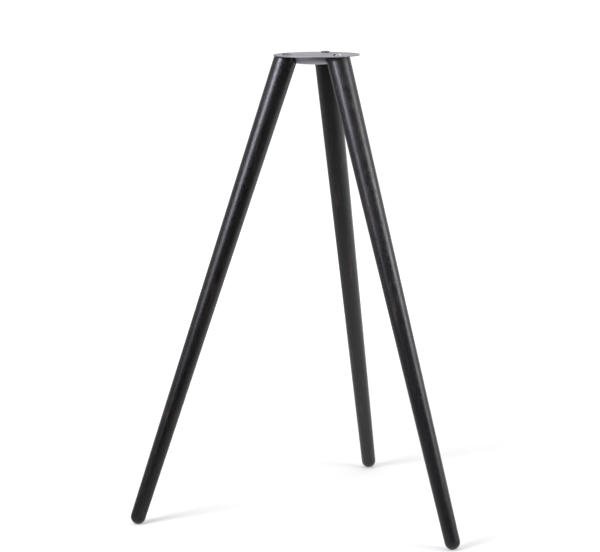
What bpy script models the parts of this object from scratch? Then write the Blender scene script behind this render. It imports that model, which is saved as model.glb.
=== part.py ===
"""Three-legged floor stand: tapered wooden legs bolted under a round steel plate with a shallow dish.

The origin is the centre of the top plate's upper face. +Z is up, and the back leg points to +Y.
"""

import math

import bmesh
import bpy
from mathutils import Matrix

MM = 0.001
GAP = 0.3 * MM  # free space between two pieces that touch

# Whole stand
HEIGHT = 900 * MM  # from the floor to the plate's upper face
LEG_DIRECTION = {"left": 210, "right": 330, "back": 90}  # degrees from +X, seen from above

# Top plate
PLATE_RADIUS = 82.5 * MM
PLATE_THICKNESS = 2 * MM
PLATE_EDGE = 0.4 * MM  # rounding of the rim
PLATE_MIDDLE_RADIUS = 45 * MM  # a ring of edges that keeps the middle's faces clear of the bolt heads

# Hub dish: a shallow pan pressed from sheet, its rim up against the plate, with a bite for each leg
DISH_RADIUS = 50 * MM
DISH_DEPTH = 16.5 * MM  # outside, below the plate
DISH_CORNER_RADIUS = 14 * MM  # between the side and the bottom, outside
DISH_DOME_RADIUS = 370 * MM  # of the slightly domed bottom
DISH_SHEET = 2 * MM
DISH_BITE_CLEARANCE = 1 * MM  # all round the leg

# Legs: straight round tapers with a domed foot, cut level at the top to meet the plate
LEG_TOP_CROSSING = 58 * MM  # from the stand's axis to the leg's axis, at the plate's upper face
LEG_TOP_RADIUS = 22.2 * MM
FOOT_CENTRE_RADIUS = 360.5 * MM  # from the stand's axis to the centre of the foot's dome
FOOT_RADIUS = 14.5 * MM
LEG_TOP_EASE = 0.8 * MM  # rounding of the edge round the leg's top

# Leg bolts: M8 furniture bolts with low, wide heads, upright through the plate into the legs
BOLT_CIRCLE_RADIUS = 58 * MM
BOLT_RADIUS = 4 * MM
BOLT_LENGTH = 25 * MM  # under the head
BOLT_HEAD_RADIUS = 8.5 * MM
BOLT_HEAD_HEIGHT = 2.5 * MM
BOLT_HEAD_RIM = 0.7 * MM  # straight part of the head's side
BOLT_HEAD_FLAT = 5.8 * MM  # radius of the flat top
BOLT_SOCKET_WIDTH = 5 * MM  # across the flats of the hexagon
BOLT_SOCKET_DEPTH = 4.5 * MM
BOLT_TIP_CHAMFER = 0.8 * MM
BOLT_HOLE_RADIUS = 4.5 * MM

# Threaded inserts in the legs' tops
INSERT_RADIUS = 6 * MM
INSERT_BORE_RADIUS = BOLT_RADIUS + GAP
INSERT_TOP = 3.5 * MM  # below the plate's upper face
INSERT_LENGTH = 18 * MM
INSERT_RIDGES = 4
INSERT_RIDGE_DEPTH = 0.7 * MM
INSERT_POCKET_DEPTH = 27 * MM  # below the plate's upper face

# Weld nuts under the plate's four mounting holes: M5 on a square
MOUNT_HOLE_SPACING = 45 * MM
MOUNT_HOLE_RADIUS = 2.75 * MM
NUT_WIDTH = 8 * MM  # across the flats
NUT_HEIGHT = 4 * MM
NUT_CHAMFER = 0.4 * MM
NUT_BORE_RADIUS = 2.1 * MM

# How finely the round pieces are divided
PLATE_SEGMENTS = 120
DISH_SEGMENTS = 96
LEG_SEGMENTS = 64
BOLT_SEGMENTS = 32
HOLE_SEGMENTS = 20
SHARP_ANGLE = math.radians(35)

# Worked out from the dimensions above
PLATE_BOTTOM_Z = -PLATE_THICKNESS
UNDER_PLATE_Z = PLATE_BOTTOM_Z - GAP  # where the legs, the dish and the nuts meet the plate
DISH_DOME_Z = UNDER_PLATE_Z - DISH_DEPTH + DISH_DOME_RADIUS  # centre of the domed bottom's sphere
FOOT_CENTRE_DROP = HEIGHT - FOOT_RADIUS
LEG_SPLAY = math.atan2(FOOT_CENTRE_RADIUS - LEG_TOP_CROSSING, FOOT_CENTRE_DROP)
LEG_LENGTH = FOOT_CENTRE_DROP / math.cos(LEG_SPLAY)  # from the plate's upper face to the dome's centre

# Linear colour, roughness and metallic value of each material
FINISHES = {
    "black_stained_wood": ((0.016, 0.015, 0.018), 0.38, 0.0),
    "plate_steel": ((0.46, 0.46, 0.47), 0.34, 1.0),
    "dish_steel": ((0.34, 0.34, 0.35), 0.42, 1.0),
    "bolt_steel": ((0.30, 0.30, 0.31), 0.30, 1.0),
    "zinc_steel": ((0.50, 0.50, 0.48), 0.40, 1.0),
    "insert_brass": ((0.62, 0.45, 0.20), 0.35, 1.0),
}


def material(name):
    """The Principled material of that name, made the first time it is asked for."""
    found = bpy.data.materials.get(name)
    if found:
        return found
    colour, roughness, metallic = FINISHES[name]
    made = bpy.data.materials.new(name)
    made.use_nodes = True
    shader = made.node_tree.nodes["Principled BSDF"]
    shader.inputs["Base Color"].default_value = (*colour, 1)
    shader.inputs["Roughness"].default_value = roughness
    shader.inputs["Metallic"].default_value = metallic
    made.diffuse_color = (*colour, 1)
    return made


def add_empty(name, parent=None, degrees=0):
    """An empty that its children turn with about the stand's axis."""
    empty = bpy.data.objects.new(name, None)
    bpy.context.collection.objects.link(empty)
    empty.parent = parent
    empty.rotation_euler.z = math.radians(degrees)
    return empty


def mesh_from(bm, name, finish):
    """A mesh with outward faces, smooth except at its sharp edges."""
    bmesh.ops.recalc_face_normals(bm, faces=bm.faces)
    mesh = bpy.data.meshes.new(name)
    bm.to_mesh(mesh)
    bm.free()
    mesh.shade_smooth()
    mesh.set_sharp_from_angle(angle=SHARP_ANGLE)
    mesh.materials.append(material(finish))
    return mesh


def add_object(name, mesh, parent, location=(0, 0, 0)):
    piece = bpy.data.objects.new(name, mesh)
    bpy.context.collection.objects.link(piece)
    piece.parent = parent
    piece.location = location
    return piece


def turned(profile, segments):
    """A solid turned about Z from (radius, height) points. Open ends are capped, a closed loop isn't."""
    bm = bmesh.new()
    verts = [bm.verts.new((radius, 0, height)) for radius, height in profile]
    edges = [bm.edges.new(pair) for pair in zip(verts, verts[1:])]
    bmesh.ops.spin(
        bm,
        geom=verts + edges,
        cent=(0, 0, 0),
        axis=(0, 0, 1),
        angle=2 * math.pi,
        steps=segments,
    )
    bmesh.ops.remove_doubles(bm, verts=bm.verts, dist=0.001 * MM)
    bmesh.ops.holes_fill(bm, edges=[edge for edge in bm.edges if edge.is_boundary], sides=0)
    return bm


def arc(centre, radius, start, end, steps):
    """Points on an arc in the (radius, height) plane, with angles in degrees from the radial direction."""
    angles = [math.radians(start + (end - start) * step / steps) for step in range(steps + 1)]
    return [(centre[0] + radius * math.cos(a), centre[1] + radius * math.sin(a)) for a in angles]


def prism(radius, bottom, top, segments):
    """A straight prism on Z, round with many segments or a hexagon with six."""
    bm = bmesh.new()
    bmesh.ops.create_cone(
        bm,
        cap_ends=True,
        segments=segments,
        radius1=radius,
        radius2=radius,
        depth=top - bottom,
        matrix=Matrix.Translation((0, 0, (top + bottom) / 2)),
    )
    return bm


def slot(radius, length, bottom, top):
    """A straight prism on Z with a round end about the axis, running on along +X."""
    bm = bmesh.new()
    round_end = [math.radians(90 + 180 * step / HOLE_SEGMENTS) for step in range(HOLE_SEGMENTS + 1)]
    outline = [(radius * math.cos(angle), radius * math.sin(angle)) for angle in round_end]
    outline += [(length, -radius), (length, radius)]
    face = bm.faces.new([bm.verts.new((x, y, bottom)) for x, y in outline])
    raised = bmesh.ops.extrude_face_region(bm, geom=[face])
    moved = [item for item in raised["geom"] if isinstance(item, bmesh.types.BMVert)]
    bmesh.ops.translate(bm, verts=moved, vec=(0, 0, top - bottom))
    bmesh.ops.recalc_face_normals(bm, faces=bm.faces)
    return bm


def add_cutter(name, bm, parent, location=(0, 0, 0)):
    """A solid that only cuts others, and is no piece of the stand."""
    mesh = bpy.data.meshes.new(name)
    bm.to_mesh(mesh)
    bm.free()
    cutter = add_object(name, mesh, parent, location)
    cutter.hide_render = True
    cutter.display_type = "WIRE"
    return cutter


def cut(piece, cutter):
    boolean = piece.modifiers.new(cutter.name, "BOOLEAN")
    boolean.operation = "DIFFERENCE"
    boolean.solver = "EXACT"
    boolean.object = cutter


def plate_mesh():
    """A flat disc with a slightly rounded rim."""
    inner = PLATE_RADIUS - PLATE_EDGE
    profile = [
        *arc((inner, PLATE_BOTTOM_Z + PLATE_EDGE), PLATE_EDGE, -90, 0, 2),
        *arc((inner, -PLATE_EDGE), PLATE_EDGE, 0, 90, 2),
        (PLATE_MIDDLE_RADIUS, 0),
    ]
    return mesh_from(turned(profile, PLATE_SEGMENTS), "top_plate", "plate_steel")


def dish_mesh():
    """A round pan of sheet metal with a slightly domed bottom, open at the top."""
    corner_reach = DISH_RADIUS - DISH_CORNER_RADIUS
    corner_drop = DISH_DOME_RADIUS - DISH_CORNER_RADIUS
    lean = math.degrees(math.asin(corner_reach / corner_drop))
    dome_centre = (0, DISH_DOME_Z)
    corner_centre = (corner_reach, DISH_DOME_Z - corner_drop * math.cos(math.radians(lean)))
    pole = 0.6  # degrees left flat round the pole
    outside = [
        *arc(dome_centre, DISH_DOME_RADIUS, -90 + pole, -90 + lean, 4),
        *arc(corner_centre, DISH_CORNER_RADIUS, -90 + lean, 0, 9)[1:],
        (DISH_RADIUS, UNDER_PLATE_Z),
    ]
    inside = [
        (DISH_RADIUS - DISH_SHEET, UNDER_PLATE_Z),
        *arc(corner_centre, DISH_CORNER_RADIUS - DISH_SHEET, 0, -90 + lean, 7),
        *arc(dome_centre, DISH_DOME_RADIUS - DISH_SHEET, -90 + lean, -90 + pole, 4)[1:],
    ]
    bm = turned([*outside, *inside], DISH_SEGMENTS)
    return mesh_from(bm, "hub_dish", "dish_steel")


def leg_frame():
    """The leg's own frame in the frame of its direction: Z runs up the leg, from the plate's plane."""
    return Matrix.Translation((LEG_TOP_CROSSING, 0, 0)) @ Matrix.Rotation(-LEG_SPLAY, 4, "Y")


def leg_mesh():
    """A straight taper with a domed foot, its top cut level just under the plate."""
    foot = arc((0, -LEG_LENGTH), FOOT_RADIUS, -84, 0, 10)
    straight_top = -3 * LEG_TOP_EASE
    ease = arc((LEG_TOP_RADIUS - LEG_TOP_EASE, -LEG_TOP_EASE), LEG_TOP_EASE, 0, 90, 3)
    bm = turned([*foot, (LEG_TOP_RADIUS, -20 * MM), *ease], LEG_SEGMENTS)
    for vert in bm.verts:
        if vert.co.z > straight_top:
            vert.co.z += (UNDER_PLATE_Z - vert.co.x * math.sin(LEG_SPLAY)) / math.cos(LEG_SPLAY)
    return mesh_from(bm, "leg", "black_stained_wood")


def bolt_mesh():
    """A low-headed bolt with a chamfered tip. Its thread is a plain cylinder of the nominal size."""
    rise = BOLT_HEAD_HEIGHT - BOLT_HEAD_RIM
    slope = BOLT_HEAD_RADIUS - BOLT_HEAD_FLAT
    shoulder = [
        (
            BOLT_HEAD_FLAT + slope * math.cos(math.radians(angle)),
            BOLT_HEAD_RIM + rise * math.sin(math.radians(angle)),
        )
        for angle in (0, 18, 36, 54, 72, 90)
    ]
    profile = [
        (BOLT_RADIUS - BOLT_TIP_CHAMFER, -BOLT_LENGTH),
        (BOLT_RADIUS, -BOLT_LENGTH + BOLT_TIP_CHAMFER),
        (BOLT_RADIUS, 0),
        (BOLT_HEAD_RADIUS - 0.3 * MM, 0),
        (BOLT_HEAD_RADIUS, 0.3 * MM),
        *shoulder,
    ]
    return mesh_from(turned(profile, BOLT_SEGMENTS), "leg_bolt", "bolt_steel")


def insert_mesh():
    """A threaded wood insert: a plain bore, and ridges outside that bite into the leg."""
    pitch = INSERT_LENGTH / INSERT_RIDGES
    root = INSERT_RADIUS - INSERT_RIDGE_DEPTH
    outside = []
    for ridge in range(INSERT_RIDGES):
        bottom = -INSERT_TOP - INSERT_LENGTH + ridge * pitch
        outside += [(root, bottom), (INSERT_RADIUS, bottom + pitch / 2)]
    outside += [(root, -INSERT_TOP)]
    bore = [(INSERT_BORE_RADIUS, -INSERT_TOP), (INSERT_BORE_RADIUS, -INSERT_TOP - INSERT_LENGTH)]
    bm = turned([*outside, *bore, outside[0]], HOLE_SEGMENTS)
    return mesh_from(bm, "leg_insert", "insert_brass")


def nut_mesh():
    """A hexagonal weld nut with its corners eased at both ends."""
    corner = NUT_WIDTH / math.sqrt(3)
    bm = prism(corner, UNDER_PLATE_Z - NUT_HEIGHT, UNDER_PLATE_Z, 6)
    ends = [edge for edge in bm.edges if abs(edge.verts[0].co.z - edge.verts[1].co.z) < GAP]
    bmesh.ops.bevel(bm, geom=ends, offset=NUT_CHAMFER, segments=1, affect="EDGES")
    return mesh_from(bm, "mount_nut", "zinc_steel")


def add_legs(stand, plate, dish):
    """The three legs, bolts and inserts, with the holes for them in the plate and the bites in the dish."""
    meshes = {"leg": leg_mesh(), "bolt": bolt_mesh(), "insert": insert_mesh()}
    at_bolt = (BOLT_CIRCLE_RADIUS, 0, 0)
    for side, degrees in LEG_DIRECTION.items():
        direction = add_empty(f"direction_{side}", stand, degrees)

        leg = add_object(f"leg_{side}", meshes["leg"], direction)
        leg.matrix_local = leg_frame()
        pocket = prism(INSERT_RADIUS + GAP, -INSERT_POCKET_DEPTH, 0, BOLT_SEGMENTS)
        cut(leg, add_cutter(f"insert_pocket_{side}", pocket, direction, at_bolt))

        bolt = add_object(f"leg_bolt_{side}", meshes["bolt"], direction, (BOLT_CIRCLE_RADIUS, 0, GAP))
        socket_bottom = BOLT_HEAD_HEIGHT - BOLT_SOCKET_DEPTH
        socket_corner = BOLT_SOCKET_WIDTH / math.sqrt(3)
        socket = prism(socket_corner, socket_bottom, BOLT_HEAD_HEIGHT + BOLT_SOCKET_DEPTH, 6)
        cut(bolt, add_cutter(f"bolt_socket_{side}", socket, direction, bolt.location))

        add_object(f"leg_insert_{side}", meshes["insert"], direction, at_bolt)

        hole = prism(BOLT_HOLE_RADIUS, -2 * PLATE_THICKNESS, PLATE_THICKNESS, HOLE_SEGMENTS)
        cut(plate, add_cutter(f"bolt_hole_{side}", hole, direction, at_bolt))

        bite = slot(LEG_TOP_RADIUS + DISH_BITE_CLEARANCE, PLATE_RADIUS, -PLATE_RADIUS, PLATE_RADIUS / 2)
        bite_cutter = add_cutter(f"leg_bite_{side}", bite, direction)
        bite_cutter.matrix_local = leg_frame()
        cut(dish, bite_cutter)


def add_mounting_holes(stand, plate):
    """Four holes on a square in the plate, each with a weld nut under it."""
    nut = nut_mesh()
    reach = MOUNT_HOLE_SPACING / 2
    for row, y in (("front", -reach), ("rear", reach)):
        for side, x in (("left", -reach), ("right", reach)):
            hole = prism(MOUNT_HOLE_RADIUS, -2 * PLATE_THICKNESS, PLATE_THICKNESS, HOLE_SEGMENTS)
            cut(plate, add_cutter(f"mount_hole_{row}_{side}", hole, stand, (x, y, 0)))
            piece = add_object(f"mount_nut_{row}_{side}", nut, stand, (x, y, 0))
            bore = prism(NUT_BORE_RADIUS, -2 * NUT_HEIGHT, 0, HOLE_SEGMENTS)
            cut(piece, add_cutter(f"nut_bore_{row}_{side}", bore, stand, (x, y, 0)))


def main():
    for old in list(bpy.data.objects):
        bpy.data.objects.remove(old)
    stand = add_empty("stand")
    plate = add_object("top_plate", plate_mesh(), stand)
    dish = add_object("hub_dish", dish_mesh(), stand)
    add_legs(stand, plate, dish)
    add_mounting_holes(stand, plate)


main()
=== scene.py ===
"""Looks of the three-legged stand: black-stained wooden legs under a round steel hub, in a pale studio."""

import math

import bpy
from mathutils import Matrix, Vector


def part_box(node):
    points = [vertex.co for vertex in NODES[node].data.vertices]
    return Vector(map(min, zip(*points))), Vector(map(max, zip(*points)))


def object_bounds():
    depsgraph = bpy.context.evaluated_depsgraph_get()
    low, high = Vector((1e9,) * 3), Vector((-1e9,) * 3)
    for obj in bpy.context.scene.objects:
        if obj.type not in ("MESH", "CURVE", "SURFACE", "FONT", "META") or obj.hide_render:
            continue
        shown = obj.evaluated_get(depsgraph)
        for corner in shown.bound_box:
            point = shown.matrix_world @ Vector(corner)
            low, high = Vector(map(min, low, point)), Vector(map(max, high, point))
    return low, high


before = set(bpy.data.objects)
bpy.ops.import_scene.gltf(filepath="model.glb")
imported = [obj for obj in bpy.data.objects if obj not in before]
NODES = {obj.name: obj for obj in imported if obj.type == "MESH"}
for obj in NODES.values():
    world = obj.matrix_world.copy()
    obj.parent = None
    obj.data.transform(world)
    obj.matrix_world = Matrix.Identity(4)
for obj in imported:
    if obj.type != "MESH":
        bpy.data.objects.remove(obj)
cad_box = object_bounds()

MM = 0.001
FLOOR_Z = cad_box[0].z
STAND_HEIGHT = -FLOOR_Z
LEG_DIRECTION = {"left": 210, "right": 330, "back": 90}  # degrees from +X, seen from above
FOOT_RADIUS = 14.5 * MM
PLATE_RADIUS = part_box("top_plate")[1][0]

# The camera: angles in degrees, its distance and height as shares of the stand's height
CAMERA_AZIMUTH = -72.96  # from +X to the camera, round the stand's axis
CAMERA_DISTANCE = 4.526
CAMERA_HEIGHT = 1.2757
CAMERA_YAW = 0.49
CAMERA_PITCH = -9.43
CAMERA_ROLL = -0.44
CAMERA_LENS = 127.7  # in mm, on a sensor 36 mm wide

# The floor is white paper that glows more and more away from the stand, so that it's white to the horizon
FLOOR_RADIUS = 60
FLOOR_COLOUR = (0.663, 0.667, 0.64)  # evens out the softboxes' tint
FLOOR_GLOW_RADII = 0.4, 2.7
FLOOR_GLOW = 0.20, 0.74

# Radiance of the studio's walls as the stand reflects them
WORLD_SIDES = 0.58, 0.82  # to the left and to the right
WORLD_MIDDLE_SHARE = 0.5  # straight behind the stand, as a share of that
WORLD_FRONT = 0.03, 0.28  # towards the camera, at the horizon and high up

# The legs' wood. Each leg is cut elsewhere from the log: degrees about the leg, metres along it
WOOD_CUT = {"left": (20, 0.0), "right": (145, 1.7), "back": (262, 3.1)}
PITH_REACH = 34 * MM, 60 * MM  # from the leg's axis to the log's pith, at the nearest and the furthest
RING_WIDTH = 2.8 * MM
STAIN_DARK = (0.0024, 0.0021, 0.0027)
STAIN_BROWN = (0.0105, 0.0078, 0.0066)
STAIN_THIN = (0.034, 0.020, 0.012)
STAIN_PORE = (0.0014, 0.0013, 0.0015)
STAIN_WORN = (0.045, 0.038, 0.032)
STAIN_PAINTED_LIGHT = (0.045, 0.042, 0.047)
WOOD_PAINTED_LIGHT = {"left": 0.0, "right": 0.09, "back": 0.08}  # painted light: how far each leg's stain is lightened, standing in for the brighter light on the right and back legs
WOOD_ROUGHNESS = 0.25, 0.31

# The steel: the two colours of each mottled skin, and of the plate's rim and scratches
PLATE_COLOURS = (0.36, 0.367, 0.39), (0.435, 0.442, 0.465)
PLATE_RIM = (0.26, 0.262, 0.28)
PLATE_SCRATCH = (0.62, 0.62, 0.63)
DISH_COLOURS = (0.50, 0.503, 0.535), (0.58, 0.583, 0.615)
BOLT_COLOURS = (0.06, 0.06, 0.064), (0.11, 0.11, 0.115)

# The bolts' heads: how much painted highlight each gets on the side that faces this way, in degrees from +X,
# standing in for a softbox's glint
BOLT_PAINTED_GLINT = {"left": 0.25, "right": 1.0, "back": 0.0}
BOLT_GLINT_COLOUR = (0.56, 0.56, 0.58)
GLINT_DIRECTION = -35

SHARP_ANGLE = 35  # degrees between two faces, above which their edge stays sharp


def centre_of(node):
    low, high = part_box(node)
    return (Vector(low) + Vector(high)) / 2


# Where the back leg's axis crosses the plate's plane and where its foot's dome is centred, from the stand's
# axis outwards. The other legs are the same, turned about the stand's axis.
LEG_TOP_REACH = centre_of("leg_bolt_back").y
FOOT_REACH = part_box("leg_back")[1][1] - FOOT_RADIUS
LEG_SPLAY = math.atan2(FOOT_REACH - LEG_TOP_REACH, STAND_HEIGHT - FOOT_RADIUS)


# ---------------------------------------------------------------------------------------------- node helpers


class Nodes:
    """A short way to write shader nodes: each call adds one and returns its output."""

    def __init__(self, tree):
        self.tree = tree

    def put(self, socket, value):
        if isinstance(value, bpy.types.NodeSocket):
            self.tree.links.new(value, socket)
        else:
            socket.default_value = value

    def add(self, kind, **inputs):
        node = self.tree.nodes.new(kind)
        for name, value in inputs.items():
            self.put(node.inputs[name.replace("_", " ")], value)
        return node

    def math(self, operation, first, second=0.0):
        node = self.tree.nodes.new("ShaderNodeMath")
        node.operation = operation
        self.put(node.inputs[0], first)
        self.put(node.inputs[1], second)
        return node.outputs[0]

    def total(self, *values):
        result = values[0]
        for value in values[1:]:
            result = self.math("ADD", result, value)
        return result

    def product(self, *values):
        result = values[0]
        for value in values[1:]:
            result = self.math("MULTIPLY", result, value)
        return result

    def smooth(self, value, low, high, to_low=0.0, to_high=1.0):
        """Follows value from low to high, eased at both ends."""
        node = self.tree.nodes.new("ShaderNodeMapRange")
        node.interpolation_type = "SMOOTHSTEP"
        for socket, number in zip(node.inputs, (value, low, high, to_low, to_high)):
            self.put(socket, number)
        return node.outputs[0]

    def mix(self, factor, first, second):
        node = self.tree.nodes.new("ShaderNodeMix")
        for name, value in (("Factor", factor), ("A", first), ("B", second)):
            self.put(node.inputs[name], value)
        return node.outputs[0]

    def mix_colour(self, factor, first, second):
        node = self.tree.nodes.new("ShaderNodeMix")
        node.data_type = "RGBA"
        for index, value in ((0, factor), (6, first), (7, second)):
            if isinstance(value, tuple):
                value = (*value, 1)
            self.put(node.inputs[index], value)
        return node.outputs[2]

    def position(self):
        """Place on the stand, in metres."""
        return self.add("ShaderNodeTexCoord").outputs["Object"]

    def moved(self, vector, location=(0, 0, 0), rotation=(0, 0, 0)):
        """The place seen from a frame that is moved and turned like this."""
        mapping = self.tree.nodes.new("ShaderNodeMapping")
        mapping.vector_type = "TEXTURE"
        for name, value in (("Vector", vector), ("Location", location), ("Rotation", rotation)):
            self.put(mapping.inputs[name], value)
        return mapping.outputs[0]

    def scaled(self, vector, *lengths):
        """The place counted in these lengths along X, Y and Z."""
        mapping = self.tree.nodes.new("ShaderNodeMapping")
        mapping.vector_type = "TEXTURE"
        self.put(mapping.inputs["Vector"], vector)
        self.put(mapping.inputs["Scale"], lengths)
        return mapping.outputs[0]

    def parts(self, vector):
        return self.add("ShaderNodeSeparateXYZ", Vector=vector).outputs

    def noise(self, vector, detail=2.0, distortion=0.0):
        inputs = {"Vector": vector, "Scale": 1.0, "Detail": detail, "Distortion": distortion}
        return self.add("ShaderNodeTexNoise", **inputs).outputs["Fac"]

    def length(self, vector):
        node = self.tree.nodes.new("ShaderNodeVectorMath")
        node.operation = "LENGTH"
        self.put(node.inputs[0], vector)
        return node.outputs["Value"]

    def reach(self, x, y):
        """The distance from the Z axis."""
        return self.math("SQRT", self.total(self.product(x, x), self.product(y, y)))


def principled(name, metallic=0.0):
    material = bpy.data.materials.new(name)
    material.use_nodes = True
    shader = material.node_tree.nodes["Principled BSDF"]
    shader.inputs["Metallic"].default_value = metallic
    return material, Nodes(material.node_tree), shader


def add_bump(nodes, shader, height, distance, strength):
    bump = nodes.add("ShaderNodeBump", Height=height, Distance=distance, Strength=strength)
    nodes.put(shader.inputs["Normal"], bump.outputs[0])


# ------------------------------------------------------------------------------------------------ the studio


def studio_point(azimuth, distance, height):
    """A point placed round the stand's axis: azimuth 0 is towards the camera, 90 to its right."""
    angle = math.radians(CAMERA_AZIMUTH + azimuth)
    return Vector((distance * math.cos(angle), distance * math.sin(angle), FLOOR_Z + height))


def studio_space(nodes, vector):
    """The vector's parts to the right, away and up, as the stand is first seen."""
    return nodes.parts(nodes.moved(vector, rotation=(0, 0, math.radians(CAMERA_AZIMUTH + 90))))


def add_camera():
    data = bpy.data.cameras.new("camera")
    data.lens = CAMERA_LENS
    data.sensor_width = 36
    data.clip_end = 200
    camera = bpy.data.objects.new("camera", data)
    bpy.context.scene.collection.objects.link(camera)
    place = studio_point(0, CAMERA_DISTANCE * STAND_HEIGHT, CAMERA_HEIGHT * STAND_HEIGHT)
    turn = Matrix.Rotation(math.radians(CAMERA_AZIMUTH + 90 + CAMERA_YAW), 4, "Z")
    tilt = Matrix.Rotation(math.radians(90 + CAMERA_PITCH), 4, "X")
    roll = Matrix.Rotation(math.radians(CAMERA_ROLL), 4, "Z")
    camera.matrix_world = Matrix.Translation(place) @ turn @ tilt @ roll
    bpy.context.scene.camera = camera


def add_softbox(name, azimuth, distance, height, size, radiance, tint, fade):
    """A softbox facing the stand's middle, which fades at its sides, bottom and top by shares of its size."""
    data = bpy.data.lights.new(name, "AREA")
    data.shape = "RECTANGLE"
    data.size, data.size_y = size
    data.energy = radiance * math.pi * size[0] * size[1]
    data.color = tint
    data.use_nodes = True
    nodes = Nodes(data.node_tree)
    across, up, _ = nodes.parts(nodes.add("ShaderNodeNewGeometry").outputs["Parametric"])
    sides, bottom, top = fade
    level = nodes.product(
        nodes.smooth(across, 0.0, sides),
        nodes.smooth(across, 1.0, 1 - sides),
        nodes.smooth(up, 0.0, bottom),
        nodes.smooth(up, 1.0, 1 - top),
    )
    nodes.put(data.node_tree.nodes["Emission"].inputs["Strength"], level)
    light = bpy.data.objects.new(name, data)
    bpy.context.scene.collection.objects.link(light)
    light.location = studio_point(azimuth, distance, height)
    aim = Vector((0, 0, FLOOR_Z + STAND_HEIGHT / 2))
    light.rotation_euler = (aim - light.location).to_track_quat("-Z", "Y").to_euler()
    light.visible_camera = False


def add_floor():
    """White to the eye. The stand reflects it bright beside and behind itself, and dark in front."""
    below = (0, 0, FLOOR_Z)
    bpy.ops.mesh.primitive_circle_add(vertices=96, radius=FLOOR_RADIUS, fill_type="NGON", location=below)
    floor = bpy.context.object
    floor.name = "floor"
    material, nodes, shader = principled("floor_white")
    shader.inputs["Base Color"].default_value = (*FLOOR_COLOUR, 1)
    shader.inputs["Roughness"].default_value = 1
    shader.inputs["Specular IOR Level"].default_value = 0
    shader.inputs["Emission Color"].default_value = (1, 1, 1, 1)
    place = nodes.position()
    glow = nodes.smooth(nodes.length(place), *FLOOR_GLOW_RADII, *FLOOR_GLOW)
    nodes.put(shader.inputs["Emission Strength"], glow)
    right, away, _ = studio_space(nodes, place)
    level = nodes.smooth(away, -1.2, 0.25, 0.05, 1.0)
    level = nodes.product(level, nodes.smooth(right, -1.2, 1.2, 0.48, 1.15))
    reflected = nodes.add("ShaderNodeEmission", Strength=level)
    mixed = nodes.add("ShaderNodeMixShader")
    nodes.put(mixed.inputs[0], nodes.add("ShaderNodeLightPath").outputs["Is Glossy Ray"])
    nodes.put(mixed.inputs[1], shader.outputs[0])
    nodes.put(mixed.inputs[2], reflected.outputs[0])
    nodes.put(material.node_tree.nodes["Material Output"].inputs["Surface"], mixed.outputs[0])
    floor.data.materials.append(material)


def add_world():
    """White to the eye. The stand reflects a studio that is bright at both sides and dark in front."""
    world = bpy.data.worlds.new("studio")
    bpy.context.scene.world = world
    world.use_nodes = True
    nodes = Nodes(world.node_tree)
    right, away, up = studio_space(nodes, nodes.add("ShaderNodeTexCoord").outputs["Generated"])
    behind = nodes.smooth(right, -0.5, 0.5, *WORLD_SIDES)
    behind = nodes.product(behind, nodes.smooth(away, 0.88, 1.0, 1.0, WORLD_MIDDLE_SHARE))
    front = nodes.smooth(up, 0.0, 0.5, *WORLD_FRONT)
    level = nodes.mix(nodes.smooth(away, -0.55, 0.25), front, behind)
    path = nodes.add("ShaderNodeLightPath").outputs["Is Camera Ray"]
    background = nodes.tree.nodes["Background"]
    background.inputs["Color"].default_value = (1, 1, 1, 1)
    nodes.put(background.inputs["Strength"], nodes.mix(path, level, 1.0))


# ------------------------------------------------------------------------------------------------- materials


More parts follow.
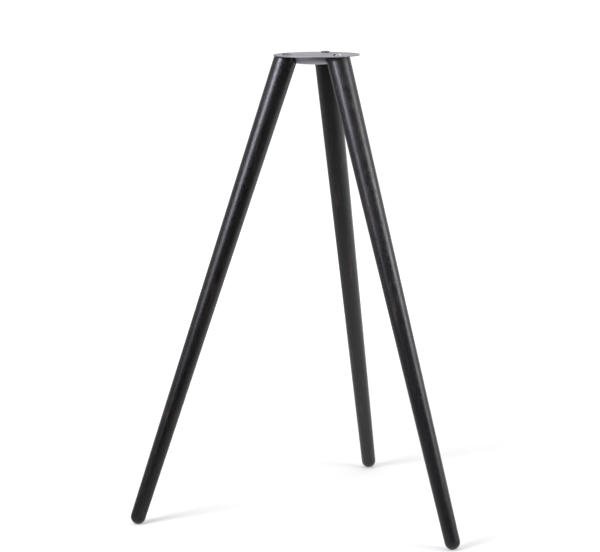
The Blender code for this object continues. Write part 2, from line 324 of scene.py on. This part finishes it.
def stained_wood(side):
    """Open-grained hardwood stained black under a thin satin lacquer, with its grain along the leg."""
    material, nodes, shader = principled(f"wood_black_{side}")
    direction = math.radians(LEG_DIRECTION[side])
    crossing = Vector((math.cos(direction), math.sin(direction), 0)) * LEG_TOP_REACH
    world = nodes.position()
    turn, shift = WOOD_CUT[side]
    cut = nodes.moved(world, crossing, (0, -LEG_SPLAY, direction))
    cut = nodes.moved(cut, (0, 0, shift), (0, 0, math.radians(turn)))

    # Growth rings run round a pith that wanders along the leg, with a band of large pores in each
    wander = nodes.noise(nodes.scaled(cut, 1, 1, 0.28), detail=1.0)
    across, deep, _ = nodes.parts(cut)
    across = nodes.math("SUBTRACT", across, nodes.smooth(wander, 0.2, 0.8, *PITH_REACH))
    ripple = nodes.noise(nodes.scaled(cut, 6 * MM, 6 * MM, 90 * MM))
    rings = nodes.total(nodes.math("DIVIDE", nodes.reach(across, deep), RING_WIDTH), ripple)
    ring = nodes.math("FRACT", rings)
    early = nodes.product(nodes.smooth(ring, 0.0, 0.1), nodes.smooth(ring, 0.6, 0.25))
    fibre = nodes.noise(nodes.scaled(cut, 0.7 * MM, 0.7 * MM, 60 * MM), detail=3.0)
    streak = nodes.noise(nodes.scaled(cut, 3 * MM, 3 * MM, 160 * MM), detail=2.0)
    mottle = nodes.noise(nodes.scaled(cut, 30 * MM, 30 * MM, 90 * MM), detail=2.0)
    grain = nodes.noise(nodes.scaled(cut, 0.35 * MM, 0.35 * MM, 7 * MM), detail=1.0)
    pores = nodes.smooth(nodes.total(grain, nodes.product(early, 0.09)), 0.63, 0.7)

    # The foot's tip is scuffed and a little dusty where it stands
    _, _, height = nodes.parts(world)
    tip = nodes.smooth(height, FLOOR_Z + 11 * MM, FLOOR_Z + 1 * MM)
    scuffs = nodes.noise(nodes.scaled(world, 2 * MM, 2 * MM, 2 * MM), detail=4.0)
    wear_and_glint = nodes.product(tip, nodes.smooth(scuffs, 0.45, 0.62))

    late = nodes.product(nodes.smooth(streak, 0.42, 0.68), nodes.smooth(fibre, 0.35, 0.65))
    patch = nodes.noise(nodes.scaled(cut, 9 * MM, 9 * MM, 70 * MM), detail=3.0)
    thin = nodes.product(nodes.smooth(patch, 0.58, 0.70), nodes.smooth(fibre, 0.40, 0.60))
    colour = nodes.mix_colour(late, STAIN_DARK, STAIN_BROWN)
    colour = nodes.mix_colour(thin, colour, STAIN_THIN)
    # Painted light: the right and back legs get a lighter copy of the stain, standing in for the light they
    # catch
    colour = nodes.mix_colour(WOOD_PAINTED_LIGHT[side], colour, STAIN_PAINTED_LIGHT)
    colour = nodes.mix_colour(nodes.product(pores, 0.8), colour, STAIN_PORE)
    nodes.put(shader.inputs["Base Color"], nodes.mix_colour(wear_and_glint, colour, STAIN_WORN))

    gloss = nodes.total(
        nodes.smooth(mottle, 0.3, 0.7, *WOOD_ROUGHNESS),
        nodes.smooth(fibre, 0.3, 0.7, -0.03, 0.03),
        nodes.product(pores, 0.14),
        nodes.product(wear_and_glint, 0.3),
    )
    nodes.put(shader.inputs["Roughness"], gloss)
    relief = nodes.total(
        nodes.product(pores, -1.0),
        nodes.product(early, -0.25),
        nodes.product(fibre, 0.35),
        nodes.product(streak, 0.6),
    )
    add_bump(nodes, shader, relief, 0.1 * MM, 0.5)
    return material


def scratches(nodes, place, angles, width, length, level):
    """Fine straight scratches, lying at each of these angles to X."""
    found = []
    for number, angle in enumerate(angles):
        turned = nodes.moved(place, (number * 0.3, 0, 0), (0, 0, math.radians(angle)))
        lines = nodes.noise(nodes.scaled(turned, length, width, 1), detail=0.0)
        found.append(nodes.smooth(lines, level, level + 0.03))
    return nodes.total(*found)


def plate_steel():
    """Satin sheet steel: brushed one way, with faint scratches and smudges, and a coarser cut rim."""
    material, nodes, shader = principled("steel_plate", metallic=1.0)
    place = nodes.position()
    brushed = nodes.noise(nodes.scaled(place, 45 * MM, 0.25 * MM, 1), detail=3.0)
    smudge = nodes.noise(nodes.scaled(place, 22 * MM, 22 * MM, 22 * MM), detail=4.0, distortion=0.6)
    scratch = scratches(nodes, place, (12, 64, -37), 0.3 * MM, 35 * MM, 0.76)
    x, y, _ = nodes.parts(place)
    rim = nodes.smooth(nodes.reach(x, y), PLATE_RADIUS - 0.5 * MM, PLATE_RADIUS - 0.2 * MM)
    colour = nodes.mix_colour(nodes.smooth(smudge, 0.25, 0.75), *PLATE_COLOURS)
    colour = nodes.mix_colour(nodes.product(scratch, 0.35), colour, PLATE_SCRATCH)
    colour = nodes.mix_colour(rim, colour, PLATE_RIM)
    nodes.put(shader.inputs["Base Color"], colour)
    gloss = nodes.total(
        nodes.smooth(smudge, 0.3, 0.7, 0.36, 0.46),
        nodes.smooth(brushed, 0.3, 0.7, -0.03, 0.03),
        nodes.product(rim, 0.24),
    )
    nodes.put(shader.inputs["Roughness"], gloss)
    relief = nodes.total(
        nodes.product(brushed, 0.6),
        nodes.product(scratch, -0.5),
        nodes.product(smudge, 0.3),
    )
    add_bump(nodes, shader, relief, 0.02 * MM, 0.5)
    return material


def dish_steel():
    """Pressed sheet steel: faint rings from the press, a dull mottled skin."""
    material, nodes, shader = principled("steel_dish", metallic=1.0)
    place = nodes.position()
    x, y, z = nodes.parts(place)
    around = nodes.math("ARCTAN2", y, x)
    polar = nodes.add("ShaderNodeCombineXYZ", X=nodes.reach(x, y), Y=nodes.product(around, 0.01), Z=z)
    rings = nodes.noise(nodes.scaled(polar.outputs[0], 0.8 * MM, 8 * MM, 1), detail=3.0)
    mottle = nodes.noise(nodes.scaled(place, 14 * MM, 14 * MM, 14 * MM), detail=4.0)
    speckle = nodes.noise(nodes.scaled(place, 0.8 * MM, 0.8 * MM, 0.8 * MM), detail=2.0)
    colour = nodes.mix_colour(nodes.smooth(mottle, 0.25, 0.75), *DISH_COLOURS)
    nodes.put(shader.inputs["Base Color"], colour)
    gloss = nodes.total(
        nodes.smooth(mottle, 0.3, 0.7, 0.56, 0.66),
        nodes.smooth(rings, 0.3, 0.7, -0.03, 0.03),
    )
    nodes.put(shader.inputs["Roughness"], gloss)
    relief = nodes.total(nodes.product(rings, 0.5), nodes.product(mottle, 0.4), nodes.product(speckle, 0.25))
    add_bump(nodes, shader, relief, 0.04 * MM, 0.5)
    return material


def bolt_steel(side, painted_glint):
    """Dark turned steel with fine rings round the bolt's axis. One side of the head may carry a painted
    highlight, brightened in its colour.
    """
    material, nodes, shader = principled(f"steel_bolt_{side}", metallic=1.0)
    centre = centre_of(f"leg_bolt_{side}")
    place = nodes.moved(nodes.position(), (centre.x, centre.y, 0))
    x, y, z = nodes.parts(place)
    polar = nodes.add("ShaderNodeCombineXYZ", X=nodes.reach(x, y), Z=z).outputs[0]
    rings = nodes.noise(nodes.scaled(polar, 0.3 * MM, 1, 0.3 * MM), detail=2.0)
    mottle = nodes.noise(nodes.scaled(place, 3 * MM, 3 * MM, 3 * MM), detail=3.0)
    # Painted highlight: the head's colour is brightened on the side that faces the right softbox, standing in
    # for its glint
    toward, _, _ = nodes.parts(nodes.moved(place, rotation=(0, 0, math.radians(GLINT_DIRECTION))))
    edge = nodes.total(toward, nodes.product(mottle, 1 * MM))
    wear_and_glint = nodes.product(nodes.smooth(edge, 3.6 * MM, 6.4 * MM), painted_glint)
    colour = nodes.mix_colour(nodes.smooth(mottle, 0.3, 0.7), *BOLT_COLOURS)
    nodes.put(shader.inputs["Base Color"], nodes.mix_colour(wear_and_glint, colour, BOLT_GLINT_COLOUR))
    gloss = nodes.total(nodes.smooth(mottle, 0.3, 0.7, 0.40, 0.50), nodes.product(wear_and_glint, -0.10))
    nodes.put(shader.inputs["Roughness"], gloss)
    relief = nodes.total(nodes.product(rings, 0.6), nodes.product(mottle, 0.4))
    add_bump(nodes, shader, relief, 0.02 * MM, 0.5)
    return material


def zinc_steel():
    """Zinc-plated steel: pale, slightly yellow, with a cloudy dull skin."""
    material, nodes, shader = principled("steel_zinc", metallic=1.0)
    place = nodes.position()
    cloud = nodes.noise(nodes.scaled(place, 4 * MM, 4 * MM, 4 * MM), detail=4.0)
    fine = nodes.noise(nodes.scaled(place, 0.5 * MM, 0.5 * MM, 0.5 * MM), detail=2.0)
    colour = nodes.mix_colour(nodes.smooth(cloud, 0.3, 0.7), (0.46, 0.46, 0.44), (0.56, 0.55, 0.50))
    nodes.put(shader.inputs["Base Color"], colour)
    nodes.put(shader.inputs["Roughness"], nodes.smooth(cloud, 0.3, 0.7, 0.34, 0.48))
    relief = nodes.total(nodes.product(cloud, 0.5), nodes.product(fine, 0.3))
    add_bump(nodes, shader, relief, 0.03 * MM, 0.5)
    return material


def insert_brass():
    """Turned brass with a light tarnish."""
    material, nodes, shader = principled("insert_brass", metallic=1.0)
    place = nodes.position()
    tarnish = nodes.noise(nodes.scaled(place, 5 * MM, 5 * MM, 5 * MM), detail=4.0)
    turned = nodes.noise(nodes.scaled(place, 1, 1, 0.3 * MM), detail=2.0)
    colour = nodes.mix_colour(nodes.smooth(tarnish, 0.4, 0.7), (0.62, 0.45, 0.20), (0.40, 0.28, 0.13))
    nodes.put(shader.inputs["Base Color"], colour)
    nodes.put(shader.inputs["Roughness"], nodes.smooth(tarnish, 0.3, 0.7, 0.28, 0.45))
    add_bump(nodes, shader, turned, 0.02 * MM, 0.5)
    return material


# ------------------------------------------------------------------------------------------------ the pieces


def smooth_faces_tree(angle):
    """Joins a solid's loose triangles and shades it smooth, except across edges sharper than the angle."""
    tree = bpy.data.node_groups.new("smooth_faces", "GeometryNodeTree")
    tree.interface.new_socket("Geometry", in_out="INPUT", socket_type="NodeSocketGeometry")
    tree.interface.new_socket("Geometry", in_out="OUTPUT", socket_type="NodeSocketGeometry")
    source = tree.nodes.new("NodeGroupInput")
    result = tree.nodes.new("NodeGroupOutput")
    merge = tree.nodes.new("GeometryNodeMergeByDistance")
    merge.inputs["Distance"].default_value = 0.002 * MM
    faces = tree.nodes.new("GeometryNodeSetShadeSmooth")
    faces.inputs["Shade Smooth"].default_value = True
    turn = tree.nodes.new("GeometryNodeInputMeshEdgeAngle")
    sharp = tree.nodes.new("FunctionNodeCompare")
    sharp.operation = "GREATER_THAN"
    sharp.inputs["B"].default_value = math.radians(angle)
    edges = tree.nodes.new("GeometryNodeSetShadeSmooth")
    edges.domain = "EDGE"
    edges.inputs["Shade Smooth"].default_value = False
    link = tree.links.new
    link(source.outputs[0], merge.inputs["Geometry"])
    link(merge.outputs[0], faces.inputs["Geometry"])
    link(faces.outputs[0], edges.inputs["Geometry"])
    link(turn.outputs["Unsigned Angle"], sharp.inputs["A"])
    link(sharp.outputs[0], edges.inputs["Selection"])
    link(edges.outputs[0], result.inputs[0])
    return tree


def dress(name, material):
    """Gives a CAD node its finish and smooth faces."""
    piece = NODES[name]
    piece.data.materials.clear()
    piece.data.materials.append(material)
    piece.modifiers.new("smooth_faces", "NODES").node_group = smooth_faces


add_camera()
add_world()
add_floor()
add_softbox("softbox_left", -51, 2.3, 1.45, (1.75, 2.3), 19.5, (0.88, 0.865, 1.0), (0.4, 0.75, 0.15))
add_softbox("softbox_right", 70, 2.3, 1.5, (2.1, 2.4), 8.8, (0.95, 0.945, 1.0), (0.4, 0.42, 0.6))
add_softbox("softbox_top", 180, 0.5, 2.6, (2.2, 2.2), 1.2, (1, 1, 1), (0.1, 0.1, 0.1))

smooth_faces = smooth_faces_tree(SHARP_ANGLE)
zinc = zinc_steel()
brass = insert_brass()
dress("top_plate", plate_steel())
dress("hub_dish", dish_steel())
for side in LEG_DIRECTION:
    dress(f"leg_{side}", stained_wood(side))
    dress(f"leg_bolt_{side}", bolt_steel(side, BOLT_PAINTED_GLINT[side]))
    dress(f"leg_insert_{side}", brass)
for row in ("front", "rear"):
    for side in ("left", "right"):
        dress(f"mount_nut_{row}_{side}", zinc)

bpy.context.scene.view_settings.view_transform = "Standard"
